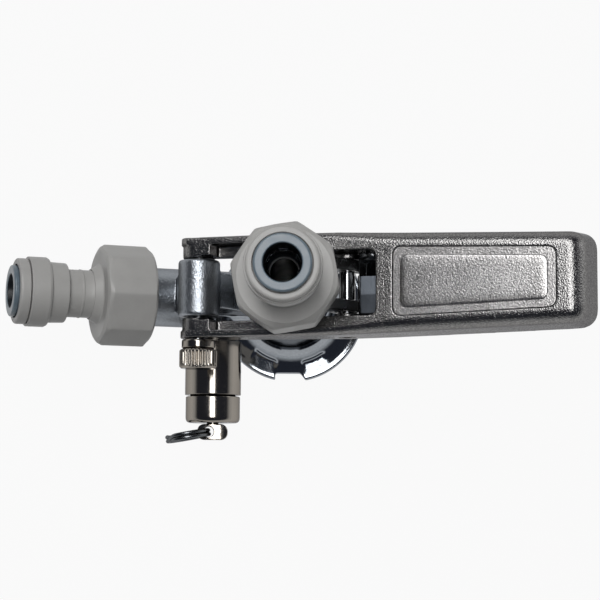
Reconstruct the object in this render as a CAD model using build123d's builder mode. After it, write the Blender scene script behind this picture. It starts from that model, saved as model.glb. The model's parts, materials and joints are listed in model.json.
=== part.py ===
from build123d import *
from math import atan2, cos, degrees, hypot, pi, radians, sin, tan
import os

# A beer keg coupler. Its bayonet flange locks onto the keg neck. Pressing the lever down drives
# the hollow probe through the body and opens the keg valve. Gas comes in at the side through the
# sloping inlet, and beer leaves at the top through the probe. Both ends carry the same push-fit
# adaptor with an octagonal nut. A relief valve with a pull ring stands beside the gas inlet.
#
# Frame: the origin is the middle of the flange's underside and +Z runs up the coupler's axis.
# +X points along the lever, -X towards the gas inlet and -Y towards the relief valve.
# The lever is drawn in its raised place, with the probe up.

# Clearances
running_gap = 0.06      # shaft in its bore, on the radius
seat_gap = 0.05         # between still pieces that sit in or on each other
rest_gap = 0.3          # between pieces that move past each other
same_size = 0.01        # when edges are picked by their radius or place

# Body casting
flange_radius = 24.4
flange_height = 4.2
flange_rim = 1.4        # flat land left on top of the flange
flange_edge = 0.5
flare_height = 11.0     # hollow sweep from the flange up to the body
notch_width = 8.4       # the two opposite bayonet notches in the flange, at their root
notch_lead = 2.1        # how far one side of a notch slants open
notch_offset = 1.0      # the notch's root, towards the side that doesn't slant
notch_depth = 2.7
body_radius = 13.6
body_below_hinge = 3.6  # the body's top is this far below the hinge
body_neck_length = 12.0
shoulder_height = 2.6
body_neck_radius = 9.2
chamber_radius = 10.6   # gas chamber round the probe, open at the bottom
guide_length = 24.0     # bore that guides the probe, from the body's top down to the chamber
base_seal_inner = 13.2
base_seal_outer = 18.6
base_seal_height = 3.1

# Probe
probe_radius = 6.5
probe_bore = 4.2
probe_bottom = 3.0
probe_collar_radius = 7.6
probe_collar_height = 2.0
probe_seal_height = 7.0
probe_seal_lip = 9.6
probe_seal_lip_low = 1.75
probe_seal_shoulder = 5.25
hub_radius = 8.8
hub_height = 8.6
ear_inner = 4.3         # half the gap between the two clevis ears
ear_eye_radius = 4.3
ear_root_x = 10.6
ear_root_drop = 3.8
ear_root_radius = 3.2
oring_section = 1.3     # radius of the rubber in the body's two O-rings
oring_depths = (5.5, 16.5)   # below the body's top
nose_radius = 8.2
nose_height = 1.9
nose_spigot = 4.0
seat_hole = 2.6
ball_radius = 3.6
ball_lift = 3.0
ball_stop_height = 2.0
port_count = 5
port_radius = 1.0
port_circle = 2.5

# Lever and the pins it turns on
hinge_reach = 26.7      # from the body's axis
hinge_height = 59.6
hinge_pin_radius = 3.0
barrel_radius = 6.3
barrel_length = 17.2
lug_width = 11.0
lug_foot = 9.5          # how far the lug reaches back along the inlet, behind the hinge
lever_rest = 17.0       # degrees above level when raised
lever_travel = 19.0     # degrees from raised to pressed
eye_radius = 4.9        # round the hinge pin, inside the fork
rim_eye_radius = 5.4    # the same, at the outer rim
arm_half_width = 15.1
fork_half_gap = 9.6
crotch_gap = 11.8       # from the cross pin to the crotch, along the lever
crotch_corner = 2.5
rim_width = 2.2         # raised outer rim of each arm near the hinge
shelf_drop = 7.2
shelf_end = 34.0
cross_pin_radius = 2.4
cross_pin_offset = 17.9  # from the body's axis, along the lever
cross_pin_drop = 6.4    # below the hinge line, square to the lever
pin_boss_radius = 3.8
pin_boss_height = 1.6
grip_run = 59.4         # solid grip, from the crotch to the end
grip_half_width = 12.6
grip_flare = 1.3        # how far the walls lean out from top to bottom
grip_end_lean = 4.4
grip_drop = 11.2        # depth of the casting below the hinge line
grip_end_drop = 7.2
grip_corner = 4.6
grip_edge = 1.6
grip_wall = 3.0
grip_roof = 3.7
grip_rib = 2.0
grip_bays = 3
bay_taper = 2.0
label_margin = 5.0      # from the crotch to the label's pocket
label_end_margin = 7.2
label_half_root = 10.1
label_half_tip = 8.55
label_corner = 2.6
label_depth = 1.0
label_thickness = 0.7

# Hinge pin, its spacer and its knurled nut
pin_head_radius = 3.9
pin_head_height = 1.4
spacer_radius = 5.0
spacer_length = 2.8
knurl_radius = 5.65
knurl_depth = 0.4
knurl_count = 30
knurl_length = 5.8
knurl_roof = 1.0

# Lock slider in the crotch of the fork
lock_length = 6.0
lock_low = -8.6         # across the lever
lock_ridge = -3.0
lock_top = 0.5          # below the hinge line
lock_height = 7.0
lock_slope = 0.8
lock_corner = 1.8
lock_tongue = 2.3
lock_tongue_height = 2.0
lock_tongue_drop = 4.0
lock_travel = 4.3

# Gas inlet
gas_angle = 21.0
gas_height = 20.0       # where the inlet's axis meets the body's
gas_face = 62.95        # along the inlet's axis, from the body's axis to the nut's outer face
gas_tube_radius = 9.2
gas_passage_radius = 5.5
duckbill_seat_radius = 8.1
duckbill_flange = 1.4
duckbill_length = 9.0
duckbill_slit = 0.35    # half the slit's opening at the tip

# Relief valve
relief_reach = 24.1     # from the body's axis
relief_boss_radius = 7.6
relief_boss_end = 13.4
relief_radius = 8.85
relief_housing_length = 17.0
relief_groove = 0.5
relief_cap_radius = 8.6
relief_cap_length = 8.3
relief_cap_edge = 1.6
relief_cap_half = 4.15  # length of the cap's spigot, and of the room in it for the spring
relief_spigot_radius = 5.2
relief_spigot_length = 4.8
relief_inlet_radius = 2.6
relief_bore = 7.2
relief_seat_height = 2.8
relief_disc_radius = 6.0
relief_disc_height = 1.8
relief_seal_radius = 5.0
relief_seal_height = 1.2
relief_stem_radius = 1.8
vent_radius = 1.0
vent_place = 9.0        # along the housing
spring_radius = 4.3
spring_wire = 0.45
spring_coils = 5
tongue_half_width = 4.8
tongue_length = 5.0
tongue_thickness = 3.6
tongue_corner = 2.2
tongue_crown = 6.2      # half the length of the ellipse that rounds its two faces
ring_hole_radius = 1.7
ring_hole_x = -1.2
ring_radius = 6.6
ring_wire = 0.6
ring_half_width = 1.3   # the split ring's two turns lie side by side
ring_corner = 0.5
ring_rest = 10.6        # degrees from -X towards -Y

# Push-fit adaptor, the same on both lines. Heights run outwards from the nut's outer face.
nut_above_hinge = 35.6  # height of the beer nut's outer face over the hinge
nut_corner_radius = 15.95
nut_sides = 8
nut_length = 15.0
nut_bevel = 1.7
nut_bevel_height = 1.0
nut_web = 2.5
nut_collar_radius = 12.5
nut_collar_height = 0.8
nut_cone_radius = 11.0
nut_cone_tip = 8.2
nut_cone_height = 4.4
beer_nut_turn = 33.0    # degrees, where the corners point
gas_nut_turn = 42.0
thread_radius = 11.3
thread_end = 6.5        # below the nut's face
thread_length = 6.9
thread_bevel = 0.5
washer_height = 1.2
tail_radius = 11.0
stem_neck_radius = 7.4
stem_neck_end = 9.2
stem_ring_radius = 9.5
stem_ring_end = 14.2
stem_bevel = 1.0
case_radius = 10.75
case_end = 21.2
passage_radius = 3.8
tube_stop = 6.0
socket_radius = 4.85    # takes a 3/8 inch (9.53 mm) tube
oring_seat = 14.6
tube_seal_section = 1.2
backing_height = 0.75
backing_bore = 5.0
case_bore = 9.0
cap_groove = 0.4
cap_radius = 10.5
cap_face = 25.0
cap_edge = 1.2
cap_bore = 6.45
cap_mouth = 1.4
cap_cone_height = 3.0
cap_cone_radius = 7.9
collet_face = 28.2
collet_flange = 1.8
collet_flange_radius = 8.1
collet_mouth = 5.65
collet_lip_radius = 7.5
collet_lip_height = 0.9
collet_cone_height = 2.6
collet_slots = 6
collet_slot_width = 1.2
collet_travel = 1.1

# Places worked out from the sizes above
hinge_x = -hinge_reach
body_top = hinge_height - body_below_hinge
body_height = body_top - body_neck_length
chamber_height = body_top - guide_length
beer_face = hinge_height + nut_above_hinge
cross_pin_reach = hinge_reach + cross_pin_offset
fork_depth = cross_pin_reach + crotch_gap
grip_length = fork_depth + grip_run
label_start = fork_depth + label_margin
label_tip = grip_length - label_end_margin
guide_radius = probe_radius + running_gap
seal_groove_radius = probe_radius + 2 * oring_section
groove_half_height = oring_section + seat_gap
pin_line = degrees(atan2(-cross_pin_drop, cross_pin_reach))
pin_reach = hypot(cross_pin_reach, cross_pin_drop)
pin_angle_up = lever_rest + pin_line
pin_angle_down = pin_angle_up - lever_travel
pin_height_up = hinge_height + pin_reach * sin(radians(pin_angle_up))
probe_stroke = pin_height_up - hinge_height - pin_reach * sin(radians(pin_angle_down))
slot_far = hinge_x + pin_reach
slot_near = hinge_x + pin_reach * cos(radians(max(pin_angle_up, -pin_angle_down)))
cross_pin_hole = cross_pin_radius + running_gap
hub_top = beer_face - nut_length + seat_gap
hub_bottom = hub_top - hub_height
ear_outer = fork_half_gap - pin_boss_height - rest_gap
relief_height = gas_height + relief_reach * tan(radians(gas_angle))
duckbill_place = gas_face - thread_end - duckbill_flange
cap_spigot_radius = case_bore - seat_gap
lock_high = fork_half_gap - crotch_corner - lock_travel - rest_gap
backing_low = oring_seat + 2 * tube_seal_section + seat_gap
cap_spigot_end = backing_low + backing_height + seat_gap

print(f"probe stroke {probe_stroke:.3f} mm over {lever_travel:.1f} degrees")
print(f"stroke per radian {probe_stroke / radians(lever_travel):.3f} mm")

# Planes
inlet_way = (-cos(radians(gas_angle)), 0, sin(radians(gas_angle)))
inlet = Plane((0, 0, gas_height), x_dir=(0, -1, 0), z_dir=inlet_way)
gas_end = inlet.offset(gas_face)
beer_end = Plane.XY.offset(beer_face)
relief = Plane((-relief_reach, 0, relief_height), x_dir=(1, 0, 0), z_dir=(0, -1, 0))
lever_way = (cos(radians(lever_rest)), 0, sin(radians(lever_rest)))
lever_up = (-sin(radians(lever_rest)), 0, cos(radians(lever_rest)))
lever = Plane((hinge_x, 0, hinge_height), x_dir=lever_way, z_dir=lever_up)
lever_side = Plane((hinge_x, 0, hinge_height), x_dir=lever_way, z_dir=(0, -1, 0))

os.makedirs("parts", exist_ok=True)


def turned(face, points, mode=Mode.ADD):
    """Turns an outline of (radius, height) points about the axis of a plane."""
    middle = Plane(face.origin, x_dir=face.x_dir, z_dir=-face.y_dir)
    with BuildSketch(middle) as profile:
        with BuildLine():
            Polyline(*points, close=True)
        make_face()
    revolve(profile.sketch, axis=Axis(face.origin, face.z_dir), mode=mode)


def rod(face, radius, start, end, mode=Mode.ADD):
    """Adds or cuts a round rod along the axis of a plane, from one height to another."""
    with BuildSketch(face.offset(start)) as disc:
        Circle(radius)
    extrude(disc.sketch, amount=end - start, mode=mode)


def collar(face, inner, outer, start, end, mode=Mode.ADD):
    """Adds or cuts a plain ring about the axis of a plane."""
    with BuildSketch(face.offset(start)) as disc:
        Circle(outer)
        Circle(inner, mode=Mode.SUBTRACT)
    extrude(disc.sketch, amount=end - start, mode=mode)


def round_ring(face, radius, section, height):
    """A ring of round section, such as an O-ring, centred at a height on a plane's axis."""
    middle = Plane(face.origin, x_dir=face.x_dir, z_dir=-face.y_dir)
    with BuildSketch(middle) as profile:
        with Locations((radius, height)):
            Circle(section)
    revolve(profile.sketch, axis=Axis(face.origin, face.z_dir))


def write(piece, name):
    """Labels a finished piece and writes it to its own file."""
    piece.part.label = name
    export_step(piece.part, f"parts/{name}.step")


def make_nut(face, line, turn):
    """Octagonal swivel nut with a collar and a cone on its outer face."""
    flat = nut_corner_radius - nut_bevel
    low = -nut_length
    with BuildPart() as nut:
        with BuildSketch(face.offset(low)) as octagon:
            RegularPolygon(nut_corner_radius, nut_sides, rotation=turn)
        extrude(octagon.sketch, amount=nut_length)
        turned(
            face,
            [
                (0, low),
                (flat, low),
                (nut_corner_radius + seat_gap, low + nut_bevel_height),
                (nut_corner_radius + seat_gap, -nut_bevel_height),
                (flat, 0),
                (0, 0),
            ],
            Mode.INTERSECT,
        )
        rod(face, nut_collar_radius, -nut_web, nut_collar_height)
        turned(
            face,
            [
                (0, 0),
                (nut_cone_radius, 0),
                (nut_cone_radius, nut_collar_height),
                (nut_cone_tip, nut_cone_height),
                (0, nut_cone_height),
            ],
        )
        rod(face, thread_radius + running_gap, low, -nut_web, Mode.SUBTRACT)
        rod(face, stem_neck_radius + seat_gap, -nut_web, nut_cone_height, Mode.SUBTRACT)
    write(nut, f"{line}_nut")


def make_washer(face, line):
    """Flat sealing washer between the threaded end and the adaptor's tail."""
    start = -thread_end + seat_gap
    with BuildPart() as washer:
        collar(face, gas_passage_radius, tail_radius - rest_gap, start, start + washer_height)
    write(washer, f"{line}_seal_washer")


def make_stem(face, line):
    """Adaptor body: tail inside the nut, slim neck, ring and the push-fit case."""
    tail_top = -nut_web - seat_gap
    tail_low = -thread_end + washer_height + 2 * seat_gap
    with BuildPart() as stem:
        turned(
            face,
            [
                (passage_radius, tail_low),
                (tail_radius, tail_low),
                (tail_radius, tail_top),
                (stem_neck_radius, tail_top),
                (stem_neck_radius, stem_neck_end),
                (stem_ring_radius, stem_neck_end),
                (stem_ring_radius, stem_ring_end),
                (case_radius, stem_ring_end + stem_bevel),
                (case_radius, case_end),
                (case_bore, case_end),
                (case_bore, backing_low),
                (socket_radius + 2 * tube_seal_section + seat_gap, backing_low),
                (socket_radius + 2 * tube_seal_section + seat_gap, oring_seat),
                (socket_radius, oring_seat),
                (socket_radius, tube_stop),
                (passage_radius, tube_stop),
            ],
        )
        ring_edges = stem.edges().filter_by(GeomType.CIRCLE)
        neck_step = [e for e in ring_edges if abs(e.radius - stem_ring_radius) < same_size]
        fillet(neck_step, radius=stem_bevel / 2)
    write(stem, f"{line}_adaptor_body")


def make_tube_seal(face, line):
    """O-ring that seals on the pushed-in tube, and the ring that keeps it in place."""
    with BuildPart() as seal:
        ring_middle = socket_radius + tube_seal_section
        round_ring(face, ring_middle, tube_seal_section, oring_seat + tube_seal_section)
    write(seal, f"{line}_tube_seal")
    with BuildPart() as backing:
        start = backing_low + seat_gap
        collar(face, backing_bore, case_bore - seat_gap, start, backing_low + backing_height)
    write(backing, f"{line}_backing_ring")


def make_cap(face, line):
    """Screwed end cap, coned inside so that it squeezes the collet."""
    head_low = case_end + cap_groove
    with BuildPart() as cap:
        turned(
            face,
            [
                (cap_cone_radius, cap_spigot_end),
                (cap_spigot_radius, cap_spigot_end),
                (cap_spigot_radius, head_low),
                (cap_radius, head_low),
                (cap_radius, cap_face),
                (cap_bore, cap_face),
                (cap_bore, cap_face - cap_mouth),
                (cap_cone_radius, cap_face - cap_mouth - cap_cone_height),
            ],
        )
        face_edges = cap.edges().filter_by(GeomType.CIRCLE)
        outer_edges = [e for e in face_edges if abs(e.radius - cap_radius) < same_size]
        along = Axis(face.origin, face.z_dir)
        fillet(ShapeList(outer_edges).sort_by(along)[-1], radius=cap_edge)
    write(cap, f"{line}_cap")


def make_collet(face, line):
    """Slotted collet: pressing its flange in lets the tube go."""
    flange_low = collet_face - collet_flange
    lip_low = cap_spigot_end + collet_travel + seat_gap
    cone_low = lip_low + collet_lip_height
    sleeve = cap_bore - running_gap
    with BuildPart() as collet:
        turned(
            face,
            [
                (socket_radius, lip_low),
                (collet_lip_radius, lip_low),
                (collet_lip_radius, cone_low),
                (sleeve, cone_low + collet_cone_height),
                (sleeve, flange_low),
                (collet_flange_radius, flange_low),
                (collet_flange_radius, collet_face),
                (collet_mouth, collet_face),
                (socket_radius, collet_face - collet_flange),
            ],
        )
        rims = collet.edges().filter_by(GeomType.CIRCLE)
        flange_rims = [e for e in rims if abs(e.radius - collet_flange_radius) < same_size]
        fillet(flange_rims, radius=collet_flange / 3)
        with BuildSketch(face.offset(lip_low)) as slots:
            with PolarLocations(0, collet_slots):
                Rectangle(
                    2 * collet_lip_radius,
                    collet_slot_width,
                    align=(Align.MIN, Align.CENTER),
                )
        slot_height = flange_low - lip_low - collet_slot_width / 2
        extrude(slots.sketch, amount=slot_height, mode=Mode.SUBTRACT)
    write(collet, f"{line}_collet")


def make_adaptor(face, line, turn):
    """All the pieces of one push-fit adaptor on one line."""
    make_nut(face, line, turn)
    make_washer(face, line)
    make_stem(face, line)
    make_tube_seal(face, line)
    make_cap(face, line)
    make_collet(face, line)


def male_thread(face):
    """Blank of the male thread below a nut, with a bevelled end."""
    low = -thread_end - thread_length
    turned(
        face,
        [
            (0, low),
            (thread_radius - thread_bevel, low),
            (thread_radius, low + thread_bevel),
            (thread_radius, -thread_end - thread_bevel),
            (thread_radius - thread_bevel, -thread_end),
            (0, -thread_end),
        ],
    )


make_adaptor(beer_end, "beer", beer_nut_turn)
make_adaptor(gas_end, "gas", gas_nut_turn)

# Body casting: flange, flared foot, body and neck in one turned form
flare_out = flange_radius - flange_rim
flare_top = flange_height + flare_height
flare_mid_x = flare_out - (flare_out - body_radius) * cos(pi / 4)
flare_mid_z = flare_top - flare_height * sin(pi / 4)
with BuildPart() as coupler_body:
    with BuildSketch(Plane.XZ) as outline:
        with BuildLine():
            Polyline(
                (0, body_top),
                (0, 0),
                (flange_radius - flange_edge, 0),
                (flange_radius, flange_edge),
                (flange_radius, flange_height - flange_edge),
                (flange_radius - flange_edge, flange_height),
                (flare_out, flange_height),
            )
            ThreePointArc(
                (flare_out, flange_height), (flare_mid_x, flare_mid_z), (body_radius, flare_top)
            )
            Polyline(
                (body_radius, flare_top),
                (body_radius, body_height),
                (body_neck_radius, body_height + shoulder_height),
                (body_neck_radius, body_top - flange_edge),
                (body_neck_radius - flange_edge, body_top),
                (0, body_top),
            )
        make_face()
    revolve(outline.sketch, axis=Axis.Z)

    # Sloping gas inlet with its thread, and the boss that the relief valve screws into
    rod(inlet, gas_tube_radius, 0, gas_face - thread_end - thread_length)
    male_thread(gas_end)
    rod(relief, relief_boss_radius, 0, relief_boss_end)

    # Lug that carries the hinge barrel above the inlet
    with BuildSketch(Plane.XZ) as lug:
        with BuildLine():
            Polyline(
                (hinge_x - barrel_radius + flange_edge, hinge_height),
                (hinge_x + barrel_radius - flange_edge, hinge_height),
                (-body_radius + shoulder_height, body_height - seat_gap),
                (-body_radius + shoulder_height, gas_height),
                (hinge_x - lug_foot, gas_height - (hinge_x - lug_foot) * tan(radians(gas_angle))),
                close=True,
            )
        make_face()
    extrude(lug.sketch, amount=lug_width / 2, both=True)
    with BuildSketch(Plane.XZ) as barrel:
        with Locations((hinge_x, hinge_height)):
            Circle(barrel_radius)
    extrude(barrel.sketch, amount=barrel_length / 2, both=True)
    barrel_rims = coupler_body.edges().filter_by(GeomType.CIRCLE)
    barrel_rims = [e for e in barrel_rims if abs(abs(e.center().Y) - barrel_length / 2) < same_size]
    fillet(barrel_rims, radius=flange_edge * 2)

    # Everything bored out
    rod(Plane.XY, chamber_radius, 0, chamber_height, Mode.SUBTRACT)
    rod(Plane.XY, guide_radius, 0, body_top, Mode.SUBTRACT)
    for depth in oring_depths:
        low = body_top - depth - groove_half_height
        high = body_top - depth + groove_half_height
        rod(Plane.XY, seal_groove_radius, low, high, Mode.SUBTRACT)
    collar(
        Plane.XY,
        base_seal_inner - seat_gap,
        base_seal_outer + seat_gap,
        0,
        base_seal_height + 2 * seat_gap,
        Mode.SUBTRACT,
    )
    passage_start = chamber_radius / 2
    rod(inlet, gas_passage_radius, passage_start, gas_face, Mode.SUBTRACT)
    rod(inlet, duckbill_seat_radius, duckbill_place, gas_face, Mode.SUBTRACT)
    rod(relief, relief_inlet_radius, 0, relief_boss_end, Mode.SUBTRACT)
    spigot_start = relief_boss_end - relief_spigot_length - seat_gap
    rod(relief, relief_spigot_radius + seat_gap, spigot_start, relief_boss_end, Mode.SUBTRACT)
    with BuildSketch(Plane.XZ) as pin_hole:
        with Locations((hinge_x, hinge_height)):
            Circle(hinge_pin_radius + seat_gap)
    extrude(pin_hole.sketch, amount=barrel_length, both=True, mode=Mode.SUBTRACT)

    # Bayonet notches, front and back
    root_start = -notch_offset - notch_width / 2
    root_end = root_start + notch_width
    with BuildSketch() as notches:
        with PolarLocations(0, 2):
            Polygon(
                (root_start, notch_depth - flange_radius),
                (root_start, -flange_radius - notch_depth),
                (root_end + 2 * notch_lead, -flange_radius - notch_depth),
                (root_end, notch_depth - flange_radius),
                align=None,
            )
    extrude(notches.sketch, amount=flange_height + flare_height, mode=Mode.SUBTRACT)
write(coupler_body, "coupler_body")

with BuildPart() as base_seal:
    collar(Plane.XY, base_seal_inner, base_seal_outer, seat_gap, seat_gap + base_seal_height)
    seal_edges = base_seal.edges().filter_by(GeomType.CIRCLE).group_by(Axis.Z)[0]
    chamfer(seal_edges, length=flange_edge)
write(base_seal, "base_seal")

for number, depth in enumerate(sorted(oring_depths, reverse=True), start=1):
    with BuildPart() as guide_seal:
        ring_middle = guide_radius + oring_section - running_gap / 2
        round_ring(Plane.XY, ring_middle, oring_section - running_gap / 2, body_top - depth)
    write(guide_seal, f"guide_seal_{number}")

# Duckbill check valve in the mouth of the gas inlet
with BuildPart() as duckbill:
    bill_end = duckbill_place - duckbill_length
    rod(inlet, duckbill_seat_radius - seat_gap, duckbill_place + seat_gap, gas_face - thread_end)
    sleeve_radius = gas_passage_radius - seat_gap
    with BuildSketch(inlet.offset(duckbill_place + seat_gap)) as bill_root:
        Circle(sleeve_radius)
    with BuildSketch(inlet.offset(bill_end)) as bill_tip:
        Ellipse(sleeve_radius, duckbill_flange)
    loft([bill_tip.sketch, bill_root.sketch])
    with BuildSketch(inlet.offset(gas_face - thread_end)) as bill_mouth:
        Circle(sleeve_radius - duckbill_flange)
    with BuildSketch(inlet.offset(bill_end + duckbill_flange)) as bill_slit:
        Ellipse(sleeve_radius - duckbill_flange, duckbill_slit)
    loft([bill_slit.sketch, bill_mouth.sketch], mode=Mode.SUBTRACT)
write(duckbill, "gas_check_valve")

# Probe: hollow tube, hub with two clevis ears, and the thread for the beer adaptor
with BuildPart() as probe:
    rod(Plane.XY, probe_radius, probe_bottom, hub_bottom)
    collar_low = probe_bottom + probe_seal_height
    rod(Plane.XY, probe_collar_radius, collar_low, collar_low + probe_collar_height)
    rod(Plane.XY, hub_radius, hub_bottom, beer_face - thread_end - thread_length)
    male_thread(beer_end)
    with BuildSketch(Plane.XZ.offset(ear_inner)) as ear:
        with BuildSketch(mode=Mode.PRIVATE) as ear_ends:
            with Locations((slot_near, pin_height_up), (slot_far, pin_height_up)):
                Circle(ear_eye_radius)
            with Locations((ear_root_x, hub_top - ear_root_drop)):
                Circle(ear_root_radius)
        make_hull(ear_ends.sketch.edges())
        with Locations((0, hub_bottom)):
            Rectangle(ear_root_x, hub_height - seat_gap, align=(Align.MIN, Align.MIN))
    extrude(ear.sketch, amount=ear_outer - ear_inner)
    mirror(about=Plane.XZ)
    slot_middle = (slot_near + slot_far) / 2
    with BuildSketch(Plane.XZ) as pin_slot:
        with Locations((slot_middle, pin_height_up)):
            SlotCenterToCenter(slot_far - slot_near + 2 * running_gap, 2 * cross_pin_hole)
    extrude(pin_slot.sketch, amount=2 * ear_outer, both=True, mode=Mode.SUBTRACT)
    rod(Plane.XY, probe_bore, probe_bottom, beer_face, Mode.SUBTRACT)
write(probe, "probe")

# Nose at the bottom of the probe: it holds the seal on and forms the ball's seat
nose_top = probe_bottom + nose_spigot
with BuildPart() as nose:
    turned(
        Plane.XY,
        [
            (seat_hole, probe_bottom - nose_height),
            (nose_radius - flange_edge, probe_bottom - nose_height),
            (nose_radius, probe_bottom - nose_height + flange_edge),
            (nose_radius, probe_bottom - seat_gap),
            (probe_bore - seat_gap, probe_bottom - seat_gap),
            (probe_bore - seat_gap, nose_top),
            (probe_bore - flange_edge, nose_top),
            (seat_hole, nose_top - ball_radius / 2),
        ],
    )
write(nose, "probe_nose")

with BuildPart() as probe_seal:
    seal_low = probe_bottom
    seal_high = probe_bottom + probe_seal_height - seat_gap
    lip_low = seal_low + probe_seal_lip_low
    turned(
        Plane.XY,
        [
            (probe_radius + seat_gap / 2, seal_low),
            (nose_radius, seal_low),
            (probe_seal_lip, lip_low),
            (probe_seal_lip, lip_low + oring_section),
            (probe_collar_radius, seal_low + probe_seal_shoulder),
            (probe_collar_radius, seal_high),
            (probe_radius + seat_gap / 2, seal_high),
        ],
    )
write(probe_seal, "probe_seal")

# Check ball on its coned seat, with the stop that limits its lift
seat_rise = ball_radius / 2
seat_run = probe_bore - flange_edge - seat_hole
seat_slant = hypot(seat_rise, seat_run)
ball_up = (ball_radius + seat_gap / 2 - seat_hole * seat_rise / seat_slant) * seat_slant / seat_run
ball_height = nose_top - seat_rise + ball_up
with BuildPart() as check_ball:
    with Locations((0, 0, ball_height)):
        Sphere(ball_radius)
write(check_ball, "check_ball")

with BuildPart() as ball_stop:
    stop_low = ball_height + ball_radius + ball_lift + rest_gap
    rod(Plane.XY, probe_bore - seat_gap, stop_low, stop_low + ball_stop_height)
    with BuildSketch(Plane.XY.offset(stop_low)) as ports:
        with PolarLocations(port_circle, port_count):
            Circle(port_radius)
    extrude(ports.sketch, amount=ball_stop_height, mode=Mode.SUBTRACT)
write(ball_stop, "ball_stop")


def lever_outline(height, end, half_width, corner):
    """Outline of the lever seen from above, at one height in the casting."""
    with BuildSketch(lever.offset(height)) as outline:
        with BuildLine():
            Polyline(
                (-2 * eye_radius, -arm_half_width),
                (cross_pin_reach, -arm_half_width),
                (end, -half_width),
                (end, half_width),
                (cross_pin_reach, arm_half_width),
                (-2 * eye_radius, arm_half_width),
                close=True,
            )
        make_face()
        fillet(outline.vertices().sort_by(Axis.X)[-2:], radius=corner)
    return outline.sketch


def label_outline(height, inset):
    """Outline of the label's pocket, drawn in by an inset."""
    with BuildSketch(lever.offset(height)) as outline:
        with BuildLine():
            Polyline(
                (label_start + inset, -label_half_root + inset),
                (label_tip - inset, -label_half_tip + inset),
                (label_tip - inset, label_half_tip - inset),
                (label_start + inset, label_half_root - inset),
                close=True,
            )
        make_face()
        fillet(outline.vertices(), radius=label_corner)
    return outline.sketch


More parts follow.
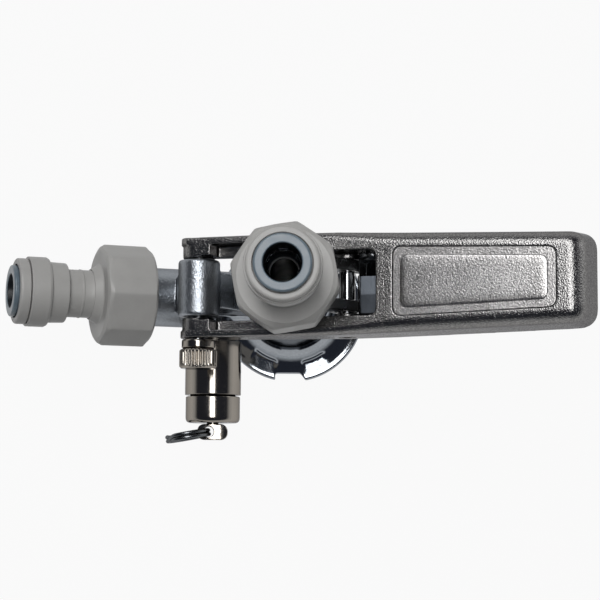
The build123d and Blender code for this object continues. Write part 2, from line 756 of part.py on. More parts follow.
# Lever casting: forked arms with round eyes, and a grip that is hollow underneath
with BuildPart() as handle:
    top_outline = lever_outline(eye_radius, grip_length, grip_half_width, grip_corner)
    low_end = grip_length + grip_end_lean
    low_half = grip_half_width + grip_flare
    low_outline = lever_outline(-grip_drop, low_end, low_half, grip_corner + grip_flare)
    loft([low_outline, top_outline], ruled=True)
    upwards = Axis(lever.origin, lever.z_dir)
    top_edges = handle.faces().sort_by(upwards)[-1].outer_wire().edges()
    fillet(top_edges, radius=grip_edge)

    # Side view: round eyes, arms that deepen towards the crotch, and a tapering grip
    with BuildSketch(lever_side) as side:
        with BuildLine():
            Polyline(
                (0, eye_radius),
                (grip_length + 2 * grip_end_lean, eye_radius),
                (grip_length + 2 * grip_end_lean, -grip_end_drop),
                (label_start, -grip_drop),
                (cross_pin_reach, -grip_drop),
                (0, -eye_radius),
                close=True,
            )
        make_face()
        Circle(rim_eye_radius)
    extrude(side.sketch, amount=2 * arm_half_width, both=True, mode=Mode.INTERSECT)

    # Gap of the fork, and the lowered shelf along the inside of each arm
    with BuildSketch(lever) as gap:
        with Locations((-3 * eye_radius, 0)):
            Rectangle(
                fork_depth + 3 * eye_radius,
                2 * fork_half_gap,
                align=(Align.MIN, Align.CENTER),
            )
        fillet(gap.vertices().sort_by(Axis.X)[-2:], radius=crotch_corner)
    extrude(gap.sketch, amount=2 * grip_drop, both=True, mode=Mode.SUBTRACT)
    shelf_half = arm_half_width - rim_width
    with BuildSketch(lever_side) as eye_step:
        Rectangle(3 * eye_radius, 4 * eye_radius, align=(Align.MAX, Align.CENTER))
        Circle(eye_radius, mode=Mode.SUBTRACT)
    extrude(eye_step.sketch, amount=shelf_half, both=True, mode=Mode.SUBTRACT)
    with BuildSketch(lever.offset(eye_radius - shelf_drop)) as shelf:
        with Locations((eye_radius + rest_gap, 0)):
            Rectangle(
                shelf_end - eye_radius,
                2 * shelf_half,
                align=(Align.MIN, Align.CENTER),
            )
    extrude(shelf.sketch, amount=2 * shelf_drop, mode=Mode.SUBTRACT)

    # Bosses: the eyes' inner faces, and round the cross pin
    boss_length = fork_half_gap - barrel_length / 2 - rest_gap
    with BuildSketch(lever_side.offset(fork_half_gap - boss_length)) as eye_boss:
        Circle(eye_radius)
    extrude(eye_boss.sketch, amount=boss_length + rim_width)
    with BuildSketch(lever_side.offset(fork_half_gap - pin_boss_height)) as pin_boss:
        with Locations((cross_pin_reach, -cross_pin_drop)):
            Circle(pin_boss_radius)
    extrude(pin_boss.sketch, amount=pin_boss_height + rim_width)
    mirror(about=Plane.XZ)

    # Pin holes
    with BuildSketch(lever_side) as holes:
        Circle(hinge_pin_radius + running_gap)
        with Locations((cross_pin_reach, -cross_pin_drop)):
            Circle(cross_pin_radius + seat_gap / 2)
    extrude(holes.sketch, amount=2 * arm_half_width, both=True, mode=Mode.SUBTRACT)
    with BuildSketch(lever_side.offset(-arm_half_width)) as head_recess:
        Circle(pin_head_radius + rest_gap / 2)
    extrude(head_recess.sketch, amount=pin_head_height + rest_gap, mode=Mode.SUBTRACT)

    # Groove for the lock slider across the crotch
    with BuildSketch(lever_side) as groove:
        with Locations((fork_depth, -lock_tongue_drop)):
            Rectangle(
                2 * (lock_tongue + rest_gap),
                lock_tongue_height + 2 * running_gap,
            )
    extrude(groove.sketch, amount=fork_half_gap, both=True, mode=Mode.SUBTRACT)

    # Hollow underside, with one long rib and cross ribs
    bay_start = fork_depth + grip_wall + lock_tongue + rest_gap
    bay_run = grip_length - grip_wall - bay_start
    bay_length = (bay_run - (grip_bays - 1) * grip_rib) / grip_bays
    bay_width = grip_half_width - grip_wall - grip_rib / 2
    with BuildSketch(lever.offset(-grip_drop)) as bays:
        with Locations((bay_start + bay_run / 2, 0)):
            with GridLocations(bay_length + grip_rib, bay_width + grip_rib, grip_bays, 2):
                RectangleRounded(bay_length, bay_width, grip_rib / 2)
    bay_height = grip_drop + eye_radius - grip_roof
    extrude(bays.sketch, amount=bay_height, taper=bay_taper, mode=Mode.SUBTRACT)

    # Shallow pocket for the label plate
    extrude(label_outline(eye_radius, 0), amount=-label_depth, mode=Mode.SUBTRACT)
write(handle, "handle")

# Blank plate in the pocket
with BuildPart() as label_plate:
    plate_low = eye_radius - label_depth + seat_gap
    extrude(label_outline(plate_low, 2 * seat_gap), amount=label_thickness)
write(label_plate, "label_plate")

# Cross pin through the arms and the probe's ears
with BuildPart() as cross_pin:
    pin_half = arm_half_width - rest_gap
    with BuildSketch(lever_side) as pin_round:
        with Locations((cross_pin_reach, -cross_pin_drop)):
            Circle(cross_pin_radius)
    extrude(pin_round.sketch, amount=pin_half, both=True)
    chamfer(cross_pin.edges().filter_by(GeomType.CIRCLE), length=rest_gap)
write(cross_pin, "cross_pin")

# Hinge pin with a flat head, its spacer and the knurled nut that holds it
hinge = Plane((hinge_x, 0, hinge_height), x_dir=(1, 0, 0), z_dir=(0, -1, 0))
spacer_start = arm_half_width + rest_gap
nut_start = spacer_start + spacer_length + seat_gap
pin_end = nut_start + knurl_length - knurl_roof - seat_gap
head_end = -arm_half_width + pin_head_height
with BuildPart() as hinge_pin:
    rod(hinge, hinge_pin_radius, head_end, pin_end)
    rod(hinge, pin_head_radius, -arm_half_width, head_end)
    chamfer(hinge_pin.edges().filter_by(GeomType.CIRCLE).sort_by(Axis.Y)[-1], length=rest_gap)
write(hinge_pin, "hinge_pin")

with BuildPart() as hinge_spacer:
    spacer_end = spacer_start + spacer_length
    collar(hinge, hinge_pin_radius + seat_gap, spacer_radius, spacer_start, spacer_end)
    chamfer(hinge_spacer.edges().filter_by(GeomType.CIRCLE).sort_by(Axis.Y)[-1], length=rest_gap)
write(hinge_spacer, "hinge_spacer")

with BuildPart() as hinge_nut:
    nut_end = nut_start + knurl_length
    rod(hinge, knurl_radius, nut_start, nut_end)
    rims = hinge_nut.edges().filter_by(GeomType.CIRCLE)
    chamfer(rims, length=knurl_depth)
    with BuildSketch(hinge.offset(nut_start)) as teeth:
        with PolarLocations(knurl_radius, knurl_count):
            RegularPolygon(knurl_depth, 4)
    extrude(teeth.sketch, amount=knurl_length, mode=Mode.SUBTRACT)
    rod(hinge, hinge_pin_radius + seat_gap, nut_start, nut_end - knurl_roof, Mode.SUBTRACT)
write(hinge_nut, "hinge_nut")

# Lock slider: a block in the crotch with a tongue in the groove behind it
with BuildPart() as lock_slider:
    block_start = fork_depth - rest_gap - lock_length
    across = Plane(
        lever.from_local_coords(Vector(block_start, 0, 0)),
        x_dir=(0, 1, 0),
        z_dir=lever_way,
    )
    with BuildSketch(across) as block:
        with BuildLine():
            Polyline(
                (lock_low, -lock_top - lock_height),
                (lock_high, -lock_top - lock_height),
                (lock_high, -lock_top - lock_slope / 2),
                (lock_ridge, -lock_top),
                (lock_low, -lock_top - lock_slope),
                close=True,
            )
        make_face()
    extrude(block.sketch, amount=lock_length)
    along_lever = Axis(lever.origin, lever.x_dir)
    corner_edges = lock_slider.faces().sort_by(along_lever)[-1].edges()
    chamfer(corner_edges.sort_by(Axis.Y)[0], length=lock_corner)
    with BuildSketch(lever_side.offset(-lock_high)) as tongue:
        with Locations((fork_depth - rest_gap - flange_edge, -lock_tongue_drop)):
            Rectangle(
                lock_tongue + rest_gap + flange_edge,
                lock_tongue_height,
                align=(Align.MIN, Align.CENTER),
            )
    extrude(tongue.sketch, amount=lock_high - lock_low - lock_corner)
write(lock_slider, "lock_slider")

# Relief valve: housing, cap, stem with its seal and spring, and the pull ring
housing_start = relief_boss_end + seat_gap
housing_end = housing_start + relief_housing_length
with BuildPart() as relief_housing:
    rod(relief, relief_spigot_radius, relief_boss_end - relief_spigot_length, housing_start)
    rod(relief, relief_radius, housing_start, housing_end)
    housing_rims = relief_housing.edges().filter_by(GeomType.CIRCLE).group_by(Axis.Y)
    chamfer(housing_rims[0], length=rest_gap)
    relief_seat = housing_start + relief_seat_height
    spigot_low = relief_boss_end - relief_spigot_length
    rod(relief, relief_inlet_radius, spigot_low, relief_seat, Mode.SUBTRACT)
    rod(relief, relief_bore, relief_seat, housing_end, Mode.SUBTRACT)
    vent = Plane(
        relief.from_local_coords(Vector(0, 0, housing_start + vent_place)),
        x_dir=(0, 1, 0),
        z_dir=(1, 0, 0),
    )
    with BuildSketch(vent) as vents:
        Circle(vent_radius)
    extrude(vents.sketch, amount=2 * relief_radius, both=True, mode=Mode.SUBTRACT)
write(relief_housing, "relief_housing")

cap_start = housing_end + relief_groove
cap_end = cap_start + relief_cap_length
cap_floor = cap_end - relief_cap_half
cap_low = housing_end - relief_cap_half
with BuildPart() as relief_cap:
    rod(relief, relief_bore - seat_gap, cap_low, cap_start)
    rod(relief, relief_cap_radius, cap_start, cap_end)
    cap_rim = relief_cap.edges().filter_by(GeomType.CIRCLE).sort_by(Axis.Y)[0]
    fillet(cap_rim, radius=relief_cap_edge)
    spring_room = spring_radius + spring_wire + rest_gap
    rod(relief, spring_room, cap_low, cap_floor, Mode.SUBTRACT)
    rod(relief, relief_stem_radius + running_gap, cap_floor, cap_end, Mode.SUBTRACT)
write(relief_cap, "relief_cap")

seal_start = relief_seat + seat_gap
disc_start = seal_start + relief_seal_height
disc_end = disc_start + relief_disc_height
tongue_start = cap_end + rest_gap
with BuildPart() as relief_seal:
    rod(relief, relief_seal_radius, seal_start, disc_start)
write(relief_seal, "relief_seal")

with BuildPart() as relief_stem:
    flat_way = Plane(
        relief.from_local_coords(Vector(0, -tongue_thickness / 2, 0)),
        x_dir=(1, 0, 0),
        z_dir=(0, 0, 1),
    )
    with BuildSketch(flat_way) as tongue:
        with Locations((0, -tongue_start - tongue_length / 2)):
            RectangleRounded(2 * tongue_half_width, tongue_length, tongue_corner)
        with Locations((ring_hole_x, -tongue_start - tongue_length / 2)):
            Circle(ring_hole_radius, mode=Mode.SUBTRACT)
    extrude(tongue.sketch, amount=tongue_thickness)
    with BuildSketch(relief.offset(tongue_start)) as crown:
        Ellipse(tongue_crown, tongue_thickness / 2)
    extrude(crown.sketch, amount=tongue_length, mode=Mode.INTERSECT)
    rod(relief, relief_disc_radius, disc_start, disc_end)
    rod(relief, relief_stem_radius, disc_end, tongue_start)
write(relief_stem, "relief_stem")

with BuildPart() as relief_spring:
    spring_low = disc_end + spring_wire + seat_gap
    spring_high = cap_floor - spring_wire - seat_gap
    spring_height = spring_high - spring_low
    spring_start = relief.from_local_coords(Vector(0, 0, spring_low))
    with BuildLine() as coil:
        Helix(
            pitch=spring_height / spring_coils,
            height=spring_height,
            radius=spring_radius,
            center=spring_start,
            direction=(0, -1, 0),
        )
    with BuildSketch(Plane(coil.line @ 0, z_dir=coil.line % 0)) as wire:
        Circle(spring_wire)
    sweep(wire.sketch, path=coil.line, is_frenet=True)
write(relief_spring, "relief_spring")

ring_way = Vector(-cos(radians(ring_rest)), -sin(radians(ring_rest)), 0)
hole_centre = relief.from_local_coords(Vector(ring_hole_x, 0, tongue_start + tongue_length / 2))
with BuildPart() as pull_ring:
    ring_plane = Plane(
        hole_centre + ring_way * ring_radius,
        x_dir=ring_way,
        z_dir=ring_way.cross(Vector(0, 0, 1)),
    )
    across_ring = Plane(ring_plane.origin, x_dir=ring_way, z_dir=(0, 0, -1))
    with BuildSketch(across_ring) as ring_profile:
        with Locations((ring_radius, 0)):
            RectangleRounded(2 * ring_wire, 2 * ring_half_width, ring_corner)
    revolve(ring_profile.sketch, axis=Axis(ring_plane.origin, ring_plane.z_dir))
write(pull_ring, "pull_ring")

print(f"ring hole {hole_centre.X:.3f} {hole_centre.Y:.3f} {hole_centre.Z:.3f}")
print(f"relief axis height {relief_height:.3f}")
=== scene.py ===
import bmesh
import bpy
import json
from math import atan2, cos, exp, hypot, log, pi, radians, sin, tan
from mathutils import Matrix, Vector


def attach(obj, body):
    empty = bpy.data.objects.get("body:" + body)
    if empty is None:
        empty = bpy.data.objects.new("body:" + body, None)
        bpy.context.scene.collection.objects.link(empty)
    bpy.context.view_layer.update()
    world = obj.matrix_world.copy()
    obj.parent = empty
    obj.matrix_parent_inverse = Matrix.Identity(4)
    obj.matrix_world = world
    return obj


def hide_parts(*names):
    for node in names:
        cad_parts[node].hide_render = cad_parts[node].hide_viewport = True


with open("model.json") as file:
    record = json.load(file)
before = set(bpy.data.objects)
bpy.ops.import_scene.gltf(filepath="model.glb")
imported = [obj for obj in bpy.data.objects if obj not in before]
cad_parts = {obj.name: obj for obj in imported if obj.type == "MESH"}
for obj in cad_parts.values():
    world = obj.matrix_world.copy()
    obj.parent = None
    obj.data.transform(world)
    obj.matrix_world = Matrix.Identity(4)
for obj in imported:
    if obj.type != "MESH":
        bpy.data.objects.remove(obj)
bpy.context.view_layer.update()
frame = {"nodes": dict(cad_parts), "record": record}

# All sizes below are in millimetres and are turned into metres as the pieces are made.
MM = 0.001

# Places repeated from the CAD
gas_angle = radians(21.0)
gas_height = 20.0
gas_face = 62.95
beer_face = 95.2
hinge_x = -26.7
hinge_z = 59.6
lever_rest = radians(17.0)
relief_x = -24.1
relief_z = gas_height - relief_x * tan(gas_angle)
inlet_skin = (-30.0, -34.0)    # the inlet's cast skin fades in between these two x


def axes(origin, x_dir, z_dir):
    """A plane's matrix in millimetres: columns x, y, z and the origin."""
    x = Vector(x_dir).normalized()
    z = Vector(z_dir).normalized()
    y = z.cross(x)
    m = Matrix((x, y, z)).transposed().to_4x4()
    m.translation = Vector(origin)
    return m


inlet_way = Vector((-cos(gas_angle), 0, sin(gas_angle)))
beer_plane = axes((0, 0, beer_face), (1, 0, 0), (0, 0, 1))
gas_plane = axes(Vector((0, 0, gas_height)) + inlet_way * gas_face, (0, -1, 0), inlet_way)
relief_plane = axes((relief_x, 0, relief_z), (1, 0, 0), (0, -1, 0))
hinge_plane = axes((hinge_x, 0, hinge_z), (1, 0, 0), (0, -1, 0))
lever_plane = axes(
    (hinge_x, 0, hinge_z),
    (cos(lever_rest), 0, sin(lever_rest)),
    (-sin(lever_rest), 0, cos(lever_rest)),
)


def place_camera():
    """Puts the camera where the fit to the photograph has it, nearly straight above the part."""
    tilt, lean, roll = radians(6.17), radians(0.86), radians(0.3)
    target = Vector((2.85, 3.27, 0))
    distance = 573.6
    focal_pixels = 1707.7
    picture_pixels = 600
    sensor = 36.0
    back = Vector((sin(lean), -sin(tilt) * cos(lean), cos(tilt) * cos(lean)))
    right = (Vector((1, 0, 0)) - back * back.x).normalized()
    up = back.cross(right)
    r = cos(roll) * right + sin(roll) * up
    u = cos(roll) * up - sin(roll) * right
    camera = bpy.data.objects.new("camera", bpy.data.cameras.new("camera"))
    bpy.context.scene.collection.objects.link(camera)
    camera.data.sensor_width = sensor
    camera.data.lens = focal_pixels / picture_pixels * sensor
    camera.data.clip_start = 0.01
    m = Matrix((r, u, back)).transposed().to_4x4()
    m.translation = (target + back * distance) * MM
    camera.matrix_world = m
    bpy.context.scene.camera = camera


place_camera()


# Materials
class Nodes:
    """A short way to add nodes and links to one node tree."""

    def __init__(self, tree):
        self.tree = tree
        tree.nodes.clear()

    def add(self, kind, inputs=None, **settings):
        node = self.tree.nodes.new(kind)
        for key, value in settings.items():
            setattr(node, key, value)
        for key, value in (inputs or {}).items():
            if isinstance(value, bpy.types.NodeSocket):
                self.tree.links.new(value, node.inputs[key])
            else:
                node.inputs[key].default_value = value
        return node

    def math(self, operation, a, b=0.0):
        return self.add("ShaderNodeMath", {0: a, 1: b}, operation=operation).outputs[0]

    def fit(self, value, low, high, to_low=0.0, to_high=1.0):
        """Maps a value from one range to another, and keeps it inside."""
        sockets = {"Value": value, "From Min": low, "From Max": high, "To Min": to_low, "To Max": to_high}
        return self.add("ShaderNodeMapRange", sockets).outputs["Result"]

    def noise(self, place, scale, detail=2.0, rough=0.5):
        sockets = {"Vector": place, "Scale": scale, "Detail": detail, "Roughness": rough}
        return self.add("ShaderNodeTexNoise", sockets).outputs["Fac"]

    def ramp(self, fac, low, high, start=0.3, end=0.7):
        """A colour ramp between two colours."""
        r = self.add("ShaderNodeValToRGB", {"Fac": fac})
        for element, position, colour in zip(r.color_ramp.elements, (start, end), (low, high)):
            element.position = position
            element.color = (*colour, 1)
        return r.outputs["Color"]


def shade(colour, factor):
    return tuple(min(1.0, c * factor) for c in colour)


def surface(
    name,
    colour,
    metallic,
    rough,
    grain,
    bump,
    cloud=150.0,
    vary=0.06,
    speck=0.2,
    cast=None,
    lines=None,
    **sockets,
):
    """One finish: cloudy colour and roughness, and a fine grain as bump.
    grain is (scale, depth in mm), and speck is the grain's share in the colour. cast is (lowest z,
    highest z, scale, depth in mm) for a cast skin that fades in with height and along the inlet.
    lines is (scale along x, y, z, share) for turned lines."""
    m = bpy.data.materials.new(name)
    m.use_nodes = True
    n = Nodes(m.node_tree)
    place = n.add("ShaderNodeTexCoord").outputs["Object"]
    clouds = n.noise(place, cloud, 3.0)
    height = n.noise(place, grain[0], 2.0)
    roughness = n.fit(clouds, 0.3, 0.7, rough[0], rough[1])
    mixed = n.math("ADD", n.math("MULTIPLY", clouds, 1 - speck), n.math("MULTIPLY", height, speck))
    tint = n.ramp(mixed, shade(colour, 1 - vary), shade(colour, 1 + vary))
    if lines:
        stretched = n.add("ShaderNodeMapping", {"Vector": place, "Scale": lines[:3]}).outputs[0]
        streaks = n.noise(stretched, 1.0, 2.0)
        height = n.math("ADD", height, n.math("MULTIPLY", streaks, lines[3]))
    relief = {"Height": height, "Strength": bump, "Distance": grain[1] * MM}
    normal = n.add("ShaderNodeBump", relief).outputs[0]
    if cast:
        xyz = n.add("ShaderNodeSeparateXYZ", {0: place}).outputs
        raised = n.fit(xyz["Z"], cast[0] * MM, cast[1] * MM)
        inlet = n.fit(xyz["X"], inlet_skin[0] * MM, inlet_skin[1] * MM)
        fade = n.math("MAXIMUM", raised, inlet)
        peel = n.math("MULTIPLY", n.noise(place, cast[2], 3.0, 0.6), fade)
        roughness = n.math("ADD", roughness, n.math("MULTIPLY", fade, 0.2))
        relief = {"Height": peel, "Strength": 0.9, "Distance": cast[3] * MM, "Normal": normal}
        normal = n.add("ShaderNodeBump", relief).outputs[0]
    shader = n.add(
        "ShaderNodeBsdfPrincipled",
        {"Base Color": tint, "Roughness": roughness, "Normal": normal, "Metallic": metallic, **sockets},
    )
    n.add("ShaderNodeOutputMaterial", {"Surface": shader.outputs[0]})
    return m


# Worn metal mirrors less at grazing angles than a clean mirror does.
worn_edge = {"Specular Tint": (0.46, 0.46, 0.47, 1)}
finish = {
    "satin_casting": surface(
        "satin_casting",
        (0.195, 0.191, 0.188),
        1.0,
        (0.20, 0.25),
        (2300, 0.12),
        1.0,
        cloud=70,
        vary=0.42,
        speck=0.9,
        **worn_edge,
    ),
    "polished_casting": surface(
        "polished_casting",
        (0.28, 0.298, 0.32),
        1.0,
        (0.08, 0.12),
        (1500, 0.03),
        0.3,
        vary=0.10,
        speck=0.7,
        cast=(44, 54, 1500, 0.16),
        **worn_edge,
    ),
    "chrome": surface("chrome", (0.32, 0.325, 0.33), 1.0, (0.09, 0.15), (900, 0.04), 0.3, vary=0.04),
    "nickel": surface(
        "nickel",
        (0.27, 0.248, 0.22),
        1.0,
        (0.10, 0.15),
        (1200, 0.03),
        0.2,
        vary=0.05,
        lines=(60, 3000, 60, 0.6),
        **worn_edge,
    ),
    "steel": surface("steel", (0.36, 0.38, 0.41), 1.0, (0.12, 0.2), (1200, 0.04), 0.3, vary=0.05),
    "stainless": surface("stainless", (0.36, 0.36, 0.36), 1.0, (0.24, 0.32), (1500, 0.05), 0.4),
    "grey_acetal": surface(
        "grey_acetal", (0.30, 0.295, 0.286), 0.0, (0.40, 0.50), (1300, 0.06), 0.4, cloud=220, vary=0.04
    ),
    "blue_grey_acetal": surface(
        "blue_grey_acetal", (0.09, 0.12, 0.145), 0.0, (0.28, 0.38), (1500, 0.05), 0.4, cloud=500, vary=0.15
    ),
    "rubber": surface("rubber", (0.02, 0.02, 0.022), 0.0, (0.2, 0.3), (1200, 0.05), 0.4, vary=0.15),
}
slots = {part["node"]: part["material_slot"] for part in frame["record"]["subparts"]}
for node, slot_name in slots.items():
    cad = frame["nodes"][node]
    cad.data.materials.clear()
    cad.data.materials.append(finish[slot_name])


# Making pieces
def add_piece(name, mesh, body, stands_for=(), slot_name=None, material=None):
    """Puts a finished mesh, in metres, into the scene as a piece that rides on a body."""
    mesh.name = name
    piece = bpy.data.objects.new(name, mesh)
    bpy.context.scene.collection.objects.link(piece)
    slot_name = slot_name or slots[stands_for[0]]
    mesh.materials.clear()
    mesh.materials.append(material or finish[slot_name])
    mesh.shade_smooth()
    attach(piece, body)
    if stands_for:
        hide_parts(*stands_for)
    return piece


def to_mesh(verts, faces, plane):
    """A mesh in metres from points in millimetres on a plane, with its faces turned outwards."""
    mesh = bpy.data.meshes.new("shape")
    mesh.from_pydata([(plane @ Vector(v)) * MM for v in verts], [], faces)
    bm = bmesh.new()
    bm.from_mesh(mesh)
    bmesh.ops.recalc_face_normals(bm, faces=bm.faces)
    bm.to_mesh(mesh)
    bm.free()
    return mesh


def skin(bands, count):
    """Quads that join each closed ring of count points to the next one."""
    faces = []
    for j in range(bands):
        for k in range(count):
            a, b = j * count + k, j * count + (k + 1) % count
            faces.append([a, b, b + count, a + count])
    return faces


def soften(outline, steps=5, support=0.05):
    """Rounds the corners of a closed outline of (x, y, radius) points, with a point close beside each arc
    so that flat faces stay flat when they are shaded smooth."""
    points = []
    count = len(outline)
    for i, (x, y, radius) in enumerate(outline):
        here = Vector((x, y))
        before = Vector(outline[i - 1][:2]) - here
        after = Vector(outline[(i + 1) % count][:2]) - here
        if radius <= 0:
            points.append(here)
            continue
        half = before.angle(after) / 2
        reach = min(radius / tan(half), 0.45 * before.length, 0.45 * after.length)
        start = here + before.normalized() * reach
        end = here + after.normalized() * reach
        points.append(start + before.normalized() * support)
        for k in range(steps + 1):
            t = k / steps
            points.append((1 - t) ** 2 * start + 2 * t * (1 - t) * here + t**2 * end)
        points.append(end + after.normalized() * support)
    return points


def lathe_mesh(plane, outline, sides=144, shape=None):
    """Turns a closed outline of (radius, height, corner radius) points about a plane's axis.
    shape(r, h, angle) may change the radius, such as for an octagon or a knurl."""
    rows = soften(outline)
    verts, rings, faces = [], [], []
    for r, h in rows:
        start = len(verts)
        if r < 1e-6:
            verts.append((0, 0, h))
            rings.append([start] * sides)
            continue
        for k in range(sides):
            angle = 2 * pi * k / sides
            radius = shape(r, h, angle) if shape else r
            verts.append((radius * cos(angle), radius * sin(angle), h))
        rings.append(list(range(start, start + sides)))
    for a, b in zip(rings, rings[1:] + rings[:1]):
        if a[0] == a[1] and b[0] == b[1]:
            continue
        for k in range(sides):
            quad = [a[k], a[(k + 1) % sides], b[(k + 1) % sides], b[k]]
            faces.append([v for i, v in enumerate(quad) if v not in quad[:i]])
    return to_mesh(verts, faces, plane)


def lathe(name, plane, outline, body, stands_for=(), sides=144, shape=None, slot_name=None, material=None):
    mesh = lathe_mesh(plane, outline, sides, shape)
    return add_piece(name, mesh, body, stands_for, slot_name, material)


def prism_mesh(plane, outline, low, high, steps=5):
    """A straight prism over a closed outline of (x, y, corner radius) points, from one height to another."""
    points = soften(outline, steps, 0.01)
    count = len(points)
    verts = [(p.x, p.y, z) for z in (low, high) for p in points]
    ends = [list(range(count)), list(range(2 * count - 1, count - 1, -1))]
    return to_mesh(verts, ends + skin(1, count), plane)


def combine(mesh, tool, operation):
    """Adds, cuts or intersects one mesh with another."""
    objects = [bpy.data.objects.new("work", m) for m in (mesh, tool)]
    for o in objects:
        bpy.context.scene.collection.objects.link(o)
    modifier = objects[0].modifiers.new("combine", "BOOLEAN")
    modifier.object = objects[1]
    modifier.operation = operation
    modifier.solver = "EXACT"
    result = applied(objects[0])
    for o in objects:
        bpy.data.objects.remove(o)
    return result


def applied(obj):
    """The mesh of an object with its modifiers applied."""
    graph = bpy.context.evaluated_depsgraph_get()
    graph.update()
    return bpy.data.meshes.new_from_object(obj.evaluated_get(graph))


def melt(mesh, voxel, smooth, plane=None):
    """Remeshes a closed mesh to one even skin and smooths it, so that its edges get small radii, as a
    casting's have. The grid lies along the given plane."""
    plane = plane or Matrix.Identity(4)
    turn = plane.copy()
    turn.translation = plane.translation * MM
    mesh = mesh.copy()
    mesh.transform(turn.inverted())
    obj = bpy.data.objects.new("work", mesh)
    bpy.context.scene.collection.objects.link(obj)
    remesh = obj.modifiers.new("remesh", "REMESH")
    remesh.mode = "VOXEL"
    remesh.voxel_size = voxel * MM
    if smooth:
        even = obj.modifiers.new("smooth", "SMOOTH")
        even.factor = 0.5
        even.iterations = smooth
    result = applied(obj)
    bpy.data.objects.remove(obj)
    result.transform(turn)
    return result


def joined(*meshes):
    """Several meshes as one, for a remesh to fuse."""
    bm = bmesh.new()
    for mesh in meshes:
        bm.from_mesh(mesh)
    result = bpy.data.meshes.new("joined")
    bm.to_mesh(result)
    bm.free()
    return result


def melted_node(node, body, voxel, smooth, plane=None, material=None):
    """A cast version of one CAD node, with its edges softened."""
    mesh = melt(frame["nodes"][node].data, voxel, smooth, plane)
    return add_piece(f"{node}_cast", mesh, body, (node,), material=material)


# The two push-fit adaptors
def octagon(turn, corner):
    """Radius of an octagon with slightly rounded corners, blended into the turned form."""
    apothem = corner * cos(pi / 8)
    sharp = 3.5
    blend = 2.0

    def shape(r, h, angle):
        if r < apothem - blend:
            return r
        side = (angle - turn) % (pi / 4) - pi / 8
        flat = apothem / cos(side)
        return -log(exp(-sharp * (r - apothem)) + exp(-sharp * (flat - apothem))) / sharp + apothem

    return shape


def paint_bore_shade(piece, plane, radius):
    """Paints the wall of a bore near-black: painted shade deep inside the bore, partly also the black of the
    seals in it.
    """
    piece.data.materials.append(bore_shade_colour)
    back = plane.inverted()
    for face in piece.data.polygons:
        p = back @ (face.center / MM)
        if hypot(p.x, p.y) < radius:
            face.material_index = 1


# Near-black colour for the painted shade on bore walls.
bore_shade_colour = surface(
    "painted_bore_shade",
    (0.008, 0.010, 0.012),
    0.0,
    (0.3, 0.4),
    (1500, 0.05),
    0.3,
    vary=0.2,
    **{"Specular IOR Level": 0.2},
)


def make_adaptor(plane, line, body, collet_body, turn):
    """Nut, body, cap, collet and grip ring of one adaptor. Heights run out from the nut's outer face."""
    nut_corner = 15.95
    tube_bore = 5.3
    teeth, tooth_root, tooth_depth = 6, 5.5, 0.75
    lathe(
        f"{line}_swivel_nut",
        plane,
        [
            (7.45, 3.4, 0.2),
            (7.9, 3.4, 0.6),
            (9.3, 0.8, 0.8),
            (13.6, 0.8, 0.3),
            (15.0, 0.3, 0.5),
            (nut_corner, -0.9, 0.4),
            (nut_corner, -14.0, 0.4),
            (14.25, -15.0, 0.4),
            (11.36, -15.0, 0.3),
            (11.36, -2.5, 0),
            (7.45, -2.5, 0),
        ],
        body,
        (f"{line}_nut",),
        sides=288,
        shape=octagon(turn, nut_corner),
    )
    push_body = lathe(
        f"{line}_push_body",
        plane,
        [
            (3.8, -5.2, 0),
            (11.0, -5.2, 0),
            (11.0, -2.55, 0),
            (7.4, -2.55, 0),
            (7.4, 6.3, 0.1),
            (7.55, 6.5, 0.1),
            (7.55, 6.9, 0.1),
            (7.4, 7.1, 0.1),
            (7.4, 11.3, 0.25),
            (9.2, 11.3, 0.5),
            (9.4, 16.9, 0.3),
            (10.3, 16.9, 0.3),
            (10.75, 17.7, 0.5),
            (10.75, 23.2, 0.3),
            (9.0, 23.2, 0.1),
            (9.0, 17.05, 0),
            (7.3, 17.05, 0),
            (7.3, 14.6, 0),
            (4.85, 14.6, 0.15),
            (4.85, 6.0, 0.0),
            (3.8, 6.0, 0.25),
        ],
        body,
        (f"{line}_adaptor_body",),
    )
    lathe(
        f"{line}_end_cap",
        plane,
        [
            (7.9, 17.85, 0),
            (8.95, 17.85, 0),
            (8.95, 23.45, 0),
            (10.1, 23.45, 0.25),
            (10.1, 26.7, 1.2),
            (8.2, 26.7, 0.3),
            (8.2, 25.0, 0.1),
            (6.45, 25.0, 0.3),
            (6.45, 23.6, 0),
            (7.9, 20.6, 0),
        ],
        body,
        (f"{line}_cap",),
    )
    collet = lathe(
        f"{line}_release_collet",
        plane,
        [
            (4.85, 19.0, 0),
            (7.5, 19.0, 0.2),
            (7.5, 19.9, 0.2),
            (6.39, 22.5, 0),
            (6.39, 26.4, 0.2),
            (7.95, 26.4, 0.6),
            (7.95, 28.2, 0.7),
            (tube_bore, 28.2, 0.4),
            (4.95, 26.4, 0.5),
        ],
        collet_body,
        (f"{line}_collet",),
    )
    # The walls of the collet's and the body's bores get painted shade.
    paint_bore_shade(collet, plane, tube_bore)
    paint_bore_shade(push_body, plane, tube_bore)

    def toothed(r, h, angle):
        if r > tooth_root:
            return r
        return r + tooth_depth * (0.5 + 0.5 * cos(teeth * angle)) ** 4

    lathe(
        f"{line}_grip_ring",
        plane,
        [(4.25, 19.3, 0), (6.2, 19.6, 0), (6.2, 19.85, 0), (4.25, 19.55, 0)],
        collet_body,
        shape=toothed,
        slot_name="steel",
    )


make_adaptor(beer_plane, "beer", "probe", "beer_collet", radians(33))
make_adaptor(gas_plane, "gas", "coupler", "gas_collet", radians(42))


